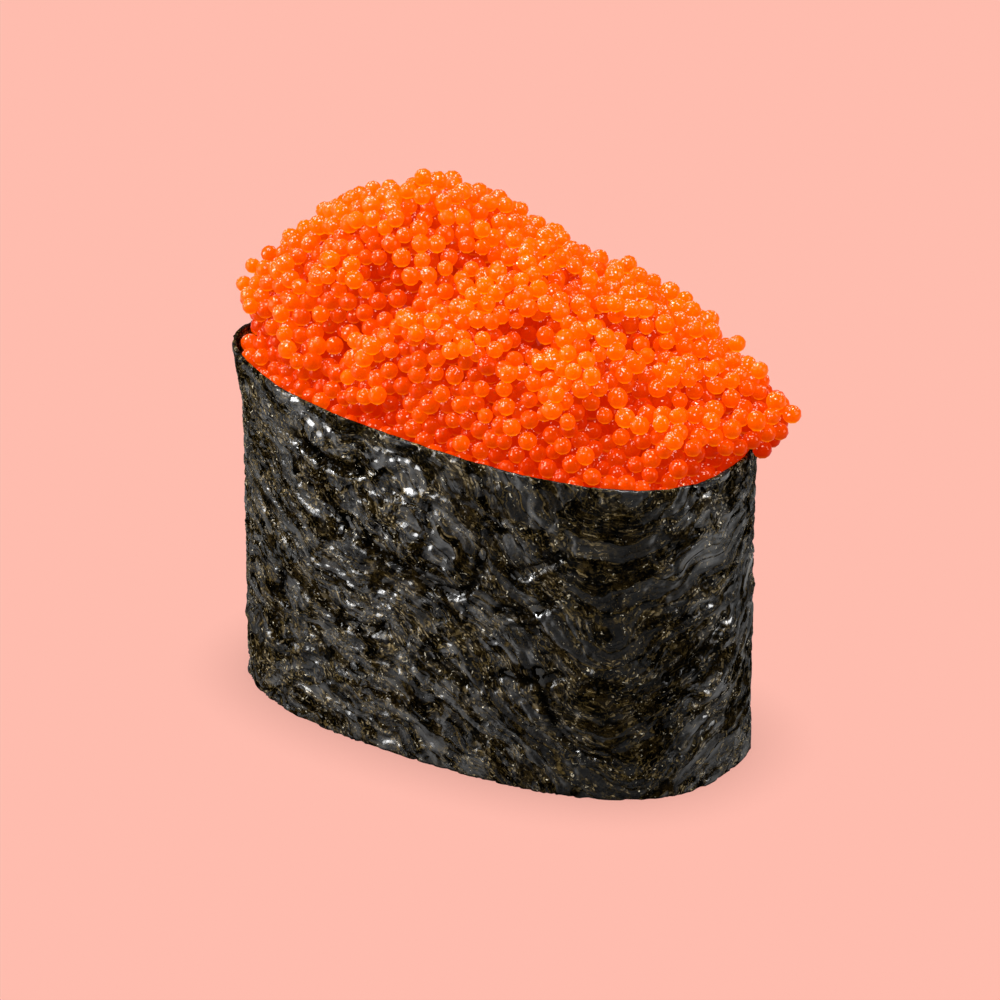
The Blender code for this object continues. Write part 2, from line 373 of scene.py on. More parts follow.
class Board:
    """A node tree being built, of materials or of geometry."""

    def __init__(self, tree):
        self.tree = tree
        tree.nodes.clear()

    def node(self, kind, settings=None, inputs=(), output=0):
        """Adds a node: its settings first, then values or wires for its inputs, by name or in order.

        A colour is three numbers, and always opaque.
        """
        made = self.tree.nodes.new(kind)
        for name, value in (settings or {}).items():
            setattr(made, name, value)
        named = inputs if isinstance(inputs, dict) else dict(enumerate(inputs))
        for key, value in named.items():
            socket = find_socket(made.inputs, key)
            if isinstance(value, Wire):
                self.tree.links.new(value.socket, socket)
            else:
                socket.default_value = (*value[:3], 1.0) if socket.type == "RGBA" else value
        return Wire(self, find_socket(made.outputs, output)) if made.outputs else made

    def given(self, name, kind):
        """A named input of a geometry tree."""
        self.tree.interface.new_socket(name, in_out="INPUT", socket_type=kind)
        entry = self.tree.nodes.get("Group Input") or self.tree.nodes.new("NodeGroupInput")
        return Wire(self, entry.outputs[name])

    def give(self, geometry):
        """The output of a geometry tree."""
        self.tree.interface.new_socket(
            "Geometry", in_out="OUTPUT", socket_type="NodeSocketGeometry"
        )
        self.node("NodeGroupOutput", inputs=(geometry,))

    def vector(self, operation, *values):
        return self.node("ShaderNodeVectorMath", {"operation": operation}, values)

    def dot(self, first, second):
        return self.node("ShaderNodeVectorMath", {"operation": "DOT_PRODUCT"}, (first, second), "Value")

    def times(self, vector, factor):
        return self.node("ShaderNodeVectorMath", {"operation": "SCALE"}, {0: vector, "Scale": factor})

    def moved(self, vector, way, factor):
        """A vector moved by a share of another."""
        return self.vector("ADD", vector, self.times(way, factor))

    def stretched(self, vector, long, wide):
        """A place on the sheet, for a pattern so many mm long and wide."""
        return self.vector("DIVIDE", vector, (long, wide, 1.0))

    def combine(self, x, y, z=0.0):
        return self.node("ShaderNodeCombineXYZ", inputs=(x, y, z))

    def part(self, vector, axis):
        return self.node("ShaderNodeSeparateXYZ", inputs=(vector,), output=axis)

    def ease(self, value, low, high, start=0.0, end=1.0):
        """Runs smoothly from start to end as value runs from low to high."""
        return self.node(
            "ShaderNodeMapRange", {"interpolation_type": "SMOOTHSTEP"}, (value, low, high, start, end)
        )

    def noise(self, vector, scale, detail=2.0, rough=0.5, output="Fac"):
        return self.node(
            "ShaderNodeTexNoise",
            inputs={"Vector": vector, "Scale": scale, "Detail": detail, "Roughness": rough},
            output=output,
        )

    def drift(self, vector, scale, detail=2.0):
        """A vector that wanders about zero from place to place."""
        return self.vector("SUBTRACT", self.noise(vector, scale, detail, 0.5, "Color"), (0.5,) * 3)

    def cells(self, vector, scale, feature="F1", randomness=1.0, dimensions="3D", output="Distance"):
        return self.node(
            "ShaderNodeTexVoronoi",
            {"feature": feature, "voronoi_dimensions": dimensions},
            {"Vector": vector, "Scale": scale, "Randomness": randomness},
            output,
        )

    def blend(self, factor, first, second):
        """A colour between two, by a factor."""
        return self.node(
            "ShaderNodeMix", {"data_type": "RGBA"}, {"Factor": factor, "A": first, "B": second}
        )

    def millimetres(self):
        """Where a point of the piece lies, in mm, for a material."""
        return self.times(self.node("ShaderNodeTexCoord", output="Object"), 1 / MM)

    def attribute(self, name, output="Fac"):
        """An attribute of the piece, for a material."""
        return self.node("ShaderNodeAttribute", {"attribute_name": name}, output=output)

    def random(self, low, high, seed):
        """A vector of each instance's own."""
        return self.node(
            "FunctionNodeRandomValue",
            {"data_type": "FLOAT_VECTOR"},
            {"Min": low, "Max": high, "Seed": seed},
        )

    def copies(self, points, thing, turn, size):
        """A thing on every point."""
        return self.node(
            "GeometryNodeInstanceOnPoints",
            inputs={"Points": points, "Instance": thing, "Rotation": turn, "Scale": size},
        )

    def stored(self, name, kind="FLOAT"):
        """An attribute of the geometry, for a geometry tree."""
        return self.node(
            "GeometryNodeInputNamedAttribute", {"data_type": kind}, {"Name": name}
        )

    def store(self, geometry, name, value, kind="FLOAT"):
        return self.node(
            "GeometryNodeStoreNamedAttribute",
            {"data_type": kind, "domain": "POINT"},
            {"Geometry": geometry, "Name": name, "Value": value},
        )

    def finished(self, geometry, material):
        """Ends a geometry tree: real faces, shaded smooth, in one material."""
        smooth = self.node("GeometryNodeSetShadeSmooth", inputs={"Geometry": geometry})
        real = self.node("GeometryNodeRealizeInstances", inputs={"Geometry": smooth})
        self.give(
            self.node("GeometryNodeSetMaterial", inputs={"Geometry": real, "Material": material})
        )
        return self.tree


def geometry_board(name):
    return Board(bpy.data.node_groups.new(name, "GeometryNodeTree"))


def material_board(name):
    made = bpy.data.materials.new(name)
    made.use_nodes = True
    return made, Board(made.node_tree)


def surface(board, inputs, normal):
    """A Principled shader on the material's output."""
    shader = board.node("ShaderNodeBsdfPrincipled", inputs={**inputs, "Normal": normal})
    board.node("ShaderNodeOutputMaterial", inputs={"Surface": shader})


def bumped(board, height):
    """A normal from a height in mm."""
    return board.node("ShaderNodeBump", inputs={"Strength": 1.0, "Distance": MM, "Height": height})


# --- Meshes --------------------------------------------------------------------------------------


def smoothstep(low, high, value):
    t = min(max((value - low) / (high - low), 0.0), 1.0)
    return t * t * (3 - 2 * t)


def bell(distance, spread):
    return math.exp(-((distance / spread) ** 2))


def add_object(name, data):
    made = bpy.data.objects.new(name, data)
    bpy.context.scene.collection.objects.link(made)
    return made


def line_object(name, points, closed=False):
    """A mesh of edges only, for a geometry tree to read as a curve."""
    count = len(points)
    edges = [(i, (i + 1) % count) for i in range(count if closed else count - 1)]
    mesh = bpy.data.meshes.new(name)
    mesh.from_pydata([tuple(p) for p in points], edges, [])
    return add_object(name, mesh)


def neighbours(places):
    """A tree for finding which of some places lie near another."""
    tree = KDTree(len(places))
    for i, place in enumerate(places):
        tree.insert(place, i)
    tree.balance()
    return tree


def set_attribute(mesh, name, kind, values):
    made = mesh.attributes.new(name, kind, "POINT")
    field = "vector" if kind == "FLOAT_VECTOR" else "value"
    made.data.foreach_set(field, np.asarray(values, np.float32).ravel())


def mesh_of(bm, name, material):
    """Ends a bmesh: a smooth piece of one material."""
    mesh = bpy.data.meshes.new(name)
    bm.to_mesh(mesh)
    bm.free()
    mesh.materials.append(material)
    mesh.shade_smooth()
    return add_object(name, mesh)


def grow(start, tree, inputs):
    """Turns an object into the plain mesh that a geometry tree makes of it."""
    modifier = start.modifiers.new(tree.name, "NODES")
    modifier.node_group = tree
    labels = {s.name: s.identifier for s in tree.interface.items_tree if s.in_out == "INPUT"}
    for name, value in inputs.items():
        modifier[labels[name]] = value
    graph = bpy.context.evaluated_depsgraph_get()
    graph.update()
    grown = bpy.data.meshes.new_from_object(
        start.evaluated_get(graph), preserve_all_data_layers=True, depsgraph=graph
    )
    grown.name = start.name
    start.modifiers.clear()
    start.data = grown
    return start


def remove(*objects):
    for thing in objects:
        bpy.data.objects.remove(thing, do_unlink=True)


def settle(piece, node):
    """Makes a finished piece move with the root, and hides the imported part that it stands for."""
    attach(piece, "root")
    if node:
        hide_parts(node)


# --- Nori ----------------------------------------------------------------------------------------


def rim_height(nori, x, y):
    return nori.height - END_TILT * x / nori.half_length + SIDE_TILT * y / nori.half_width


def oval(nori, count):
    """Evenly spaced places and outward directions round the band, from the sheet's inner end."""
    turn = LAP_START + np.linspace(0, 2 * math.pi, OVAL_STEPS + 1)
    power = 2 / SQUARENESS
    c, s = np.cos(turn), np.sin(turn)
    x = nori.half_length * np.sign(c) * np.abs(c) ** power
    y = nori.half_width * np.sign(s) * np.abs(s) ** power
    run = np.concatenate(([0], np.cumsum(np.hypot(np.diff(x), np.diff(y)))))
    wanted = np.linspace(0, run[-1], count, endpoint=False)
    places = np.stack([np.interp(wanted, run, x), np.interp(wanted, run, y)], 1)
    along = np.roll(places, -1, 0) - np.roll(places, 1, 0)
    outward = np.stack([along[:, 1], -along[:, 0]], 1)
    return places, outward / np.linalg.norm(outward, axis=1)[:, None], run[-1]


def nori_path(nori):
    """The line that the sheet is wound along, with what its columns need to know."""
    places, outward, girth = oval(nori, nori.columns)
    total = nori.columns + round(nori.columns * LAP_SHARE) + 1
    column = np.arange(total)
    spots, ways = places[column % nori.columns], outward[column % nori.columns]
    ramp = nori.columns * RAMP_SHARE
    climb = np.clip((column - nori.columns + ramp) / ramp, 0, 1)
    lift = climb * climb * (3 - 2 * climb) * (nori.thickness + LAP_GAP)
    facing = np.arctan2(ways[:, 1], ways[:, 0])
    turned = (facing - FLARE_FACING + math.pi) % (2 * math.pi) - math.pi
    run = column * girth / nori.columns / MM
    stations, rises = zip(*LAY)
    rise = np.interp(run, stations, rises)
    sweep = np.concatenate(([0], np.cumsum((rise[1:] + rise[:-1]) / 2 * np.diff(run))))
    flat = np.zeros((total, 1))
    points = np.concatenate([spots + ways * lift[:, None], flat], 1)
    path = line_object("nori_path", points)
    set_attribute(path.data, "spot", "FLOAT_VECTOR", points)
    set_attribute(path.data, "outward", "FLOAT_VECTOR", np.concatenate([ways, flat], 1))
    set_attribute(path.data, "run", "FLOAT", run)
    set_attribute(path.data, "sweep", "FLOAT", sweep)
    set_attribute(path.data, "flare", "FLOAT", FLARE * np.exp(-((turned / FLARE_SPREAD) ** 2)))
    set_attribute(path.data, "rim", "FLOAT", rim_height(nori, spots[:, 0], spots[:, 1]))
    return path


def nori_profile(nori):
    """The sheet's section: its outer face with fine rows, its edge, and its inner face."""
    fine = [(0.0, row / nori.rows) for row in range(nori.rows + 1)]
    edge = [(0.25, 1.0016), (0.75, 1.0012)]
    inner = [(1.0, level) for level in (0.998, 0.985, 0.96, 0.92, 0.86, 0.76, 0.5, 0.25, 0.0)]
    section = fine + edge + inner
    profile = line_object("nori_section", [(through, level, 0) for through, level in section], True)
    set_attribute(profile.data, "through", "FLOAT", [through for through, _ in section])
    set_attribute(profile.data, "level", "FLOAT", [level for _, level in section])
    return profile


def crease_lines(name, lines):
    """Smooth lines on the unrolled sheet, as one mesh of edges."""
    points, edges = [], []
    for line in lines:
        knots = [Vector((*p, 0)) for p in line]
        knots = [2 * knots[0] - knots[1], *knots, 2 * knots[-1] - knots[-2]]
        for k in range(1, len(knots) - 2):
            a, b, c, d = knots[k - 1 : k + 3]
            for step in range(SPLINE_STEPS):
                t = step / SPLINE_STEPS
                edge = ((2 * b) + (c - a) * t + (2 * a - 5 * b + 4 * c - d) * t**2
                        + (3 * b - a - 3 * c + d) * t**3) / 2
                if k > 1 or step:
                    edges.append((len(points) - 1, len(points)))
                points.append(edge)
    mesh = bpy.data.meshes.new(name)
    mesh.from_pydata(points, edges, [])
    return add_object(name, mesh)


def blade_lay(board, run, height, sweep):
    """Where a point of the unrolled sheet lies along and across the blades, in mm."""
    flat = board.combine(run, height)
    bent = board.moved(board.combine(run, height - sweep), board.drift(flat, 0.10), 9.0)
    return board.moved(bent, board.drift(flat, 0.42), 1.1)


def blades(board, lay, long, wide):
    """How far a point is from the edge of its blade, and a number of the blade's own."""
    stretched = board.stretched(lay, long, wide)
    edge = board.cells(stretched, 1.0, "DISTANCE_TO_EDGE", 0.9, "2D")
    own = board.cells(stretched, 1.0, "F1", 0.9, "2D", "Color")
    return edge, board.part(own, "X")


def nori_tree():
    """Winds the sheet along its path and presses the relief into it."""
    board = geometry_board("nori sheet")
    path = board.given("Geometry", "NodeSocketGeometry")
    size = {
        name: board.given(name, "NodeSocketFloat")
        for name in ("Thickness", "Wave", "Fold", "Blade", "Crumple", "Crease", "Ridge", "Wear")
    }
    section = board.given("Section", "NodeSocketObject")
    creases = board.given("Crease Lines", "NodeSocketObject")
    ridges = board.given("Ridge Lines", "NodeSocketObject")
    material = board.given("Material", "NodeSocketMaterial")

    def shape_of(thing):
        return board.node("GeometryNodeObjectInfo", inputs={"Object": thing}, output="Geometry")

    sheet = board.node(
        "GeometryNodeCurveToMesh",
        inputs={
            "Curve": board.node("GeometryNodeMeshToCurve", inputs=(path,)),
            "Profile Curve": board.node("GeometryNodeMeshToCurve", inputs=(shape_of(section),)),
            "Fill Caps": True,
        },
    )
    run, rim, sweep = (board.stored(name) for name in ("run", "rim", "sweep"))
    level, through = board.stored("level"), board.stored("through")
    outward = board.stored("outward", "FLOAT_VECTOR")
    height = level * rim / MM
    flat = board.combine(run, height)
    lay = blade_lay(board, run, height, sweep)

    def nearness(thing, width, up=0.0):
        spot = board.combine(run, height + up) if up else flat
        away = board.node(
            "GeometryNodeProximity",
            {"target_element": "EDGES"},
            {"Geometry": shape_of(thing), "Sample Position": spot},
            "Distance",
        )
        frayed = away + (board.noise(flat, 1.3, 2.0) - 0.5) * 0.7
        return board.ease(frayed, 0.0, width, 1.0, 0.0)

    wave = (board.noise(flat, 0.12, 1.0) - 0.5) * 2
    edge, own = blades(board, lay, *WIDE_BLADES)
    plate = board.ease(edge, 0.02, 0.20)
    folds = board.noise(board.stretched(lay, 9.0, 2.4), 1.0, 2.0, 0.55)
    fold = board.ease(abs(folds - 0.5), 0.0, 0.07)
    crumple = board.noise(board.stretched(lay, 1.6, 0.8), 1.0, 3.0, 0.6)
    pressed = nearness(creases, 0.9)
    raised = nearness(ridges, 0.8) + 0.6 * nearness(creases, 0.7, 0.9)

    bow = wave * size["Wave"]
    relief = (
        (plate * (0.4 + own) - 0.7) * size["Blade"]
        + (fold - 1) * size["Fold"]
        + (crumple - 0.5) * 2 * size["Crumple"]
        - pressed * size["Crease"]
        + raised * size["Ridge"]
    )
    outer = 1 - through
    lean = board.stored("flare") * board.ease(rim * (1 - level), FLARE_DEPTH, 0.0)
    out = bow + lean + relief * outer - size["Thickness"] * through
    worn = (board.noise(flat, 1.4, 2.0) - 0.5) + (board.noise(flat, 0.35, 1.0) - 0.5) * 2
    z = level * rim + worn * size["Wear"] * board.ease(level, 0.985, 1.0)
    place = board.moved(board.stored("spot", "FLOAT_VECTOR"), outward, out)
    place = board.vector("ADD", place, board.combine(0.0, 0.0, z))
    sheet = board.store(sheet, "lay", lay, "FLOAT_VECTOR")
    sheet = board.store(sheet, "hollow", pressed)
    sheet = board.store(sheet, "raised", raised)
    sheet = board.node("GeometryNodeSetPosition", inputs={"Geometry": sheet, "Position": place})
    return board.finished(sheet, material)


def nori_ground(board):
    """Where the patterns of the sheet lie, and the fine unevenness that they share."""
    made = SimpleNamespace(fine=board.millimetres(), lay=board.attribute("lay", "Vector"))
    made.hollow, made.raised = board.attribute("hollow"), board.attribute("raised")
    made.jitter = board.drift(made.fine, 1.3)
    made.shaken = board.moved(made.lay, made.jitter, 0.16)
    made.aside = board.vector("ADD", made.shaken, (3.7, 0.4, 0.0))
    made.streak = board.noise(board.stretched(made.shaken, 2.2, 0.20), 1.0, 3.0, 0.6)
    made.grit = board.noise(made.fine, 4.5, 3.0, 0.65)
    made.mottle = board.noise(made.fine, 0.6, 3.0, 0.6)
    made.patch = board.noise(made.fine, 0.45, 2.0, 0.6) + 0.25 * (made.mottle - 0.5)
    made.patch = board.ease(made.patch, 0.46, 0.60)
    still = board.noise(board.stretched(made.aside, 13.0, 6.0), 1.0, 1.0)
    still = still + board.ease(board.part(made.fine, "X"), -14.0, 2.0, -0.18, 0.0)
    still = still - board.ease(board.part(made.fine, "Y"), 0.0, 6.0, 0.0, 0.10)
    made.calm = board.ease(still, 0.38, 0.48)
    made.busy = 1 - 0.75 * made.calm
    return made


def nori_films(board, ground):
    """The smooth films: wide and slim blades and scraps, and broad blades where the sheet is calm."""
    lay, hollow = ground.lay, ground.hollow
    wide_edge, wide_own = blades(board, lay, *WIDE_BLADES)
    slim_edge, slim_own = blades(board, ground.shaken, *SLIM_BLADES)
    scrap_edge, scrap_own = blades(board, ground.aside, *SCRAPS)
    broad_edge, broad_own = blades(board, board.vector("ADD", lay, (1.3, 0.7, 0.0)), *BROAD_BLADES)
    zone = board.noise(board.stretched(lay, 9.0, 4.0), 1.0, 2.0, 0.5) - 0.5
    # Films are fewer in the creases and more on the ridges, so their painted sheen is darker in the
    # creases and lighter on the ridges.
    lift = zone * 1.7 - hollow * 0.8 + ground.raised * 0.3
    wide = board.ease(wide_own + lift, 0.56, 0.62) * board.ease(wide_edge, 0.04, 0.12)
    slim = board.ease(slim_own + lift, 0.66, 0.72) * board.ease(slim_edge, 0.04, 0.12)
    scrap = board.ease(scrap_own + lift, 0.70, 0.76) * board.ease(scrap_edge, 0.04, 0.12)
    worn = board.ease(board.noise(ground.shaken, 1.3, 3.0, 0.6), 0.40, 0.50)
    wide = wide * worn * (0.5 + 0.6 * wide_own)
    film = wide.at_least(slim * (0.25 + 0.8 * slim_own)).at_least(scrap * 0.8)
    broad = board.ease(broad_own + zone * 1.6 - hollow * 0.6, 0.44, 0.49)
    broad = broad * board.ease(broad_edge, 0.025, 0.08) * (0.10 + 1.1 * broad_own)
    film = film + (broad - film) * ground.calm * 0.9
    rims = board.ease(slim_edge, 0.07, 0.02) * (1 - scrap)
    rims = rims.at_least(board.ease(wide_edge, 0.05, 0.01)) * ground.busy
    rims = rims + board.ease(broad_edge, 0.050, 0.018) * ground.calm
    rims = rims * board.ease(board.noise(ground.fine, 1.6, 2.0, 0.5), 0.48, 0.62)
    return film, wide_own, rims


def nori_bits(board, ground):
    """The dry bits between the films: a web of veins, flecks, and painted glints of light."""
    shaken, jitter, grit, patch = ground.shaken, ground.jitter, ground.grit, ground.patch
    flecks = board.cells(
        board.moved(board.stretched(shaken, 0.50, 0.34), jitter, 1.8), 1.0, dimensions="2D"
    )
    own = board.part(flecks.also("Color"), "X")
    flecks = board.ease(flecks / (own + 0.25), 0.36, 0.20)
    flecks = flecks * board.ease(own * ground.mottle, 0.31, 0.38) * (1 - 0.4 * ground.calm)
    web = board.moved(board.stretched(shaken, 0.90, 0.75), jitter, 1.8)
    web = board.cells(web, 1.0, "DISTANCE_TO_EDGE", 1.0, "2D")
    veins = board.ease(web, 0.10, 0.03) * board.ease(grit + 0.5 * patch, 0.48, 0.68)
    veins = veins * (0.3 + 0.7 * ground.busy)
    cracks = board.ease(web, 0.11, 0.04) * (1 - patch) * board.ease(grit, 0.42, 0.52) * ground.busy
    # Painted glints: small bright dots, also raised a little in the relief.
    painted_glints = board.cells(board.moved(ground.fine, jitter, 1.6), 1.9)
    own = board.part(painted_glints.also("Color"), "X")
    painted_glints = board.ease(painted_glints / (0.15 + own), 0.26, 0.14) * (0.4 + 0.6 * own)
    painted_glints = painted_glints * board.ease(grit + 0.25 * patch - 0.12 * ground.calm, 0.42, 0.56)
    return flecks, veins, cracks, painted_glints


def nori_tint(board, nori, ground, films, bits):
    """The sheet's colour, from its dark gaps up to its painted glints, with painted shade in the
    creases.
    """
    film, own, rims = films
    flecks, veins, _, painted_glints = bits
    # Painted shade in the creases: rims, veins and flecks fade out there.
    out_of_crease_shade = 1 - ground.hollow
    olive = board.ease(ground.mottle + 0.8 * ground.grit + 0.2 * ground.streak, 0.90, 1.20)
    tint = board.blend(olive, nori.gap_and_shade_colour, nori.olive_colour)
    # Grey films, lighter or darker from blade to blade: partly painted sheen.
    tone = film * (0.75 + 0.30 * (ground.streak + own - 1.0))
    tint = board.blend(tone, tint, nori.blade_and_sheen_colour)
    tint = board.blend(rims * 0.7 * out_of_crease_shade, tint, nori.rim_colour)
    tint = board.blend(veins * 0.8 * out_of_crease_shade, tint, nori.vein_colour)
    dry = flecks * ground.patch * (1 - 0.8 * ground.hollow)
    tint = board.blend(dry, tint, nori.fleck_colour)
    # Painted shade: the creases are painted near black.
    tint = board.blend(ground.hollow * 0.8, tint, nori.gap_and_shade_colour)
    # Painted glints on top.
    return board.blend(painted_glints, tint, nori.painted_glint_colour)


def nori_relief(board, ground, films, bits):
    """The sheet's finest relief, in mm."""
    film, _, rims = films
    flecks, veins, _, painted_glints = bits
    crinkle = board.noise(board.stretched(ground.shaken, 1.5, 0.8), 1.0, 2.0, 0.6)
    blister = board.cells(board.stretched(ground.shaken, 1.25, 0.75), 1.0, dimensions="2D")
    bead = board.cells(board.stretched(ground.shaken, 0.44, 0.30), 1.0, dimensions="2D")
    relief = (ground.grit - 0.5) * 0.55 + (crinkle - 0.5) * 0.85 - blister * blister * 0.40
    relief = relief - bead * bead * (0.24 + 0.34 * ground.patch)
    relief = relief * ground.busy + film * 0.08 + ground.streak * 0.18
    return relief + (rims + flecks * 2 + painted_glints * 2 + veins) * 0.05


def nori_gloss(board, ground, films, bits):
    """How glossy the sheet is: most on the films, least in cracks, hollows and at the cut edge."""
    film, _, rims = films
    flecks, _, cracks, _ = bits
    level = board.attribute("level")
    gloss = board.ease(film + 0.8 * rims + 0.6 * flecks + 0.35 * ground.patch, 0.05, 1.0)
    gloss = gloss * board.ease(level, 0.0, 0.55, 0.72, 1.0)
    cloud = board.noise(board.stretched(ground.lay, 5.0, 1.8), 1.0, 2.0, 0.6)
    gloss = gloss * (1 - 0.7 * ground.raised) * (1 - 0.8 * cracks)
    gloss = gloss * board.ease(cloud, 0.38, 0.62, 0.30, 1.15)
    gloss = gloss * board.ease(ground.grit + 0.2 * ground.calm, 0.42, 0.58, 0.30, 1.10)
    gloss = gloss * (1 - 0.75 * ground.hollow) * (1 - 0.85 * board.ease(level, 0.992, 0.999))
    return gloss * board.ease(ground.streak, 0.30, 0.60, 0.70, 1.0)


def nori_material(nori):
    """Dried seaweed: glossy films over black gaps, their grey partly painted sheen, with dry olive
    rims, flecks and veins, painted glints, and painted shade in the creases.
    """
    made, board = material_board("nori")
    ground = nori_ground(board)
    films, bits = nori_films(board, ground), nori_bits(board, ground)
    surface(
        board,
        {
            "Base Color": nori_tint(board, nori, ground, films, bits),
            "Roughness": 0.55,
            "Specular IOR Level": 0.0,
            "Coat Weight": nori_gloss(board, ground, films, bits),
            "Coat Roughness": 0.21,
            "Coat IOR": 2.7,
        },
        bumped(board, nori_relief(board, ground, films, bits)),
    )
    return made


# --- Rice ----------------------------------------------------------------------------------------


def rice_material(rice):
    """Cooked rice, moist and a little clear at its ends."""
    made, board = material_board("rice")
    fine = board.millimetres()
    cloud = board.noise(fine, 0.8, 3.0)
    warm = tuple(c * f for c, f in zip(rice.grain_colour, (0.93, 0.88, 0.78)))
    surface(
        board,
        {
            "Base Color": board.blend(
                board.ease(cloud, 0.35, 0.65), rice.grain_colour, warm
            ),
            "Roughness": 0.30 + 0.25 * cloud,
            "Subsurface Weight": 0.25,
            "Subsurface Radius": (1.0 * MM, 0.8 * MM, 0.6 * MM),
            "Subsurface Scale": 1.0,
        },
        bumped(board, board.noise(fine, 3.0, 2.0) * 0.05),
    )
    return made


def grain_tree():
    """Scatters pressed grains over a flat outline."""
    board = geometry_board("rice grains")
    foot = board.given("Geometry", "NodeSocketGeometry")
    long = board.given("Length", "NodeSocketFloat")
    wide = board.given("Width", "NodeSocketFloat")
    apart = board.given("Apart", "NodeSocketFloat")
    seed = board.given("Seed", "NodeSocketInt")
    material = board.given("Material", "NodeSocketMaterial")
    places = board.node(
        "GeometryNodeDistributePointsOnFaces",
        {"distribute_method": "POISSON"},
        {"Mesh": foot, "Distance Min": apart, "Density Max": GRAIN_DENSITY, "Seed": seed},
    )
    ball = board.node(
        "GeometryNodeMeshUVSphere", inputs={"Segments": 10, "Rings": 6, "Radius": 0.5}
    )
    spot = board.node("GeometryNodeInputPosition")
    along = board.part(spot, "X")
    bent = board.vector(
        "MULTIPLY_ADD", spot, board.combine(long, wide, wide * GRAIN_FLATNESS),
        board.combine(0.0, along * along * wide * 0.5, 0.0),
    )
    grain = board.node("GeometryNodeSetPosition", inputs={"Geometry": ball, "Position": bent})
    turn = board.random((-0.10, -0.16, 0.0), (0.10, 0.16, 2 * math.pi), seed)
    size = board.random((0.8, 0.88, 0.9), (1.1, 1.08, 1.05), seed)
    return board.finished(board.copies(places, grain, turn, size), material)


def ring_points(nori, inset, count, level):
    """A ring round the inside of the band, at one height."""
    places, outward, _ = oval(nori, count)
    inner = places - outward * inset
    return [(x, y, level) for x, y in inner]


def make_rice_core(nori, rice, material):
    """The block of rice inside its outer grains, with rounded edges."""
    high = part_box("rice")[1]
    inset = nori.half_width - high.y + rice.inset
    levels = (
        (rice.inset, RICE_EDGE), (rice.inset + RICE_BEND, RICE_BEND), (rice.inset + RICE_EDGE, 0.0),
        (high.z / 2, 0.0), (high.z - RICE_EDGE, 0.0), (high.z, RICE_EDGE),
    )
    bm = bmesh.new()
    rings = [
        [bm.verts.new(p) for p in ring_points(nori, inset + pull, RICE_COLUMNS, level)]
        for level, pull in levels
    ]
    for under, over in zip(rings, rings[1:]):
        for i in range(RICE_COLUMNS):
            j = (i + 1) % RICE_COLUMNS
            bm.faces.new((under[i], under[j], over[j], over[i]))
    bm.faces.new(reversed(rings[0]))
    bm.faces.new(rings[-1])
    bmesh.ops.recalc_face_normals(bm, faces=bm.faces)
    return mesh_of(bm, "rice_core", material)


def make_rice_grains(nori, rice, material):
    """The grains pressed flat on the underside."""
    wall = nori.half_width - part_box("rice")[1].y
    level = rice.grain_width * GRAIN_FLATNESS / 2 + FOOT_GAP
    outline = ring_points(nori, wall + rice.grain_width * 0.75, FOOT_POINTS, level)
    foot = bpy.data.meshes.new("rice_grains")
    foot.from_pydata(outline, [], [tuple(range(FOOT_POINTS))])
    grains = grow(
        add_object("rice_grains", foot),
        grain_tree(),
        {
            "Length": rice.grain_length, "Width": rice.grain_width, "Apart": rice.apart,
            "Seed": rice.seed, "Material": material,
        },
    )
    for v in grains.data.vertices:
        v.co.z = max(v.co.z, FOOT_LEVEL)
    return grains


# --- Roe -----------------------------------------------------------------------------------------


def roe_material(roe):
    """Clear orange eggs with painted light: redder in painted shade deep in the heap, brighter in a
    painted crescent at their lower side, with a painted glow and painted glitter.
    """
    made, board = material_board("roe")
    fine, way = board.millimetres(), board.attribute("way", "Vector")
    cloud = board.noise(fine, 1.6, 2.0, 0.6)
    # Each egg's painted light and shade, with a little random unevenness.
    tone = (board.attribute("tone") + (cloud - 0.5) * 0.3).at_least(0.0) ** 2.35
    # Painted crescent: the lower side of each egg is painted brighter, more on eggs painted in light.
    glow = board.ease(board.part(way, "Z"), -0.35, -0.95) * (0.2 + 0.8 * tone)
    # Painted glitter: bright specks on the side of each egg that the lamps face, on the back of the
    # heap too, and faint painted specks all over.
    behind = board.dot(way, PAINTED_BACK_GLITTER) * board.ease(board.part(fine, "Y"), 1.0, 6.0)
    lamps = board.dot(way, PAINTED_GLITTER_FACING).at_least(behind)
    lamps = board.ease(lamps, 0.40, 1.0) * (0.47 + 0.48 * tone)
    grains = board.cells(board.moved(fine, board.drift(fine, 3.5, 1.0), 0.35), 4.2)
    own = board.part(grains.also("Color"), "X")
    painted_glitter = board.ease(own + lamps, 1.0, 1.12) * board.ease(grains / (0.7 + 0.4 * own), 0.42, 0.24)
    painted_faint_specks = board.ease(grains, 0.26, 0.14) * 0.35 * tone
    # Painted light and shade: lit and shaded copies of one colour.
    tint = board.blend(tone, roe.painted_shade_colour, roe.painted_lit_colour)
    # Painted crescent, in the colour as well.
    tint = board.blend(glow * 0.7, tint, roe.painted_glow_colour)
    # Painted glow: the emission, dim deep in the heap and bright on the outside, by the painted light
    # and shade, brighter still in the painted crescent.
    light = board.blend(tone, roe.painted_deep_glow, roe.painted_outer_glow)
    light = board.blend(glow, light, roe.painted_crescent)
    # Painted glitter and faint painted specks, in the glow.
    light = board.blend(painted_faint_specks, light, roe.painted_crescent)
    light = board.blend(painted_glitter * (0.5 + 0.5 * tone), light, roe.painted_glitter)
    surface(
        board,
        {
            "Base Color": tint,
            "Roughness": 0.05,
            "IOR": 1.45,
            "Specular IOR Level": 0.3,
            "Specular Tint": (1.0, 0.55, 0.30),
            "Emission Color": light,
            "Emission Strength": 1.0,
        },
        bumped(board, board.noise(fine, 2.2, 0.0) * 0.06),
    )
    return made


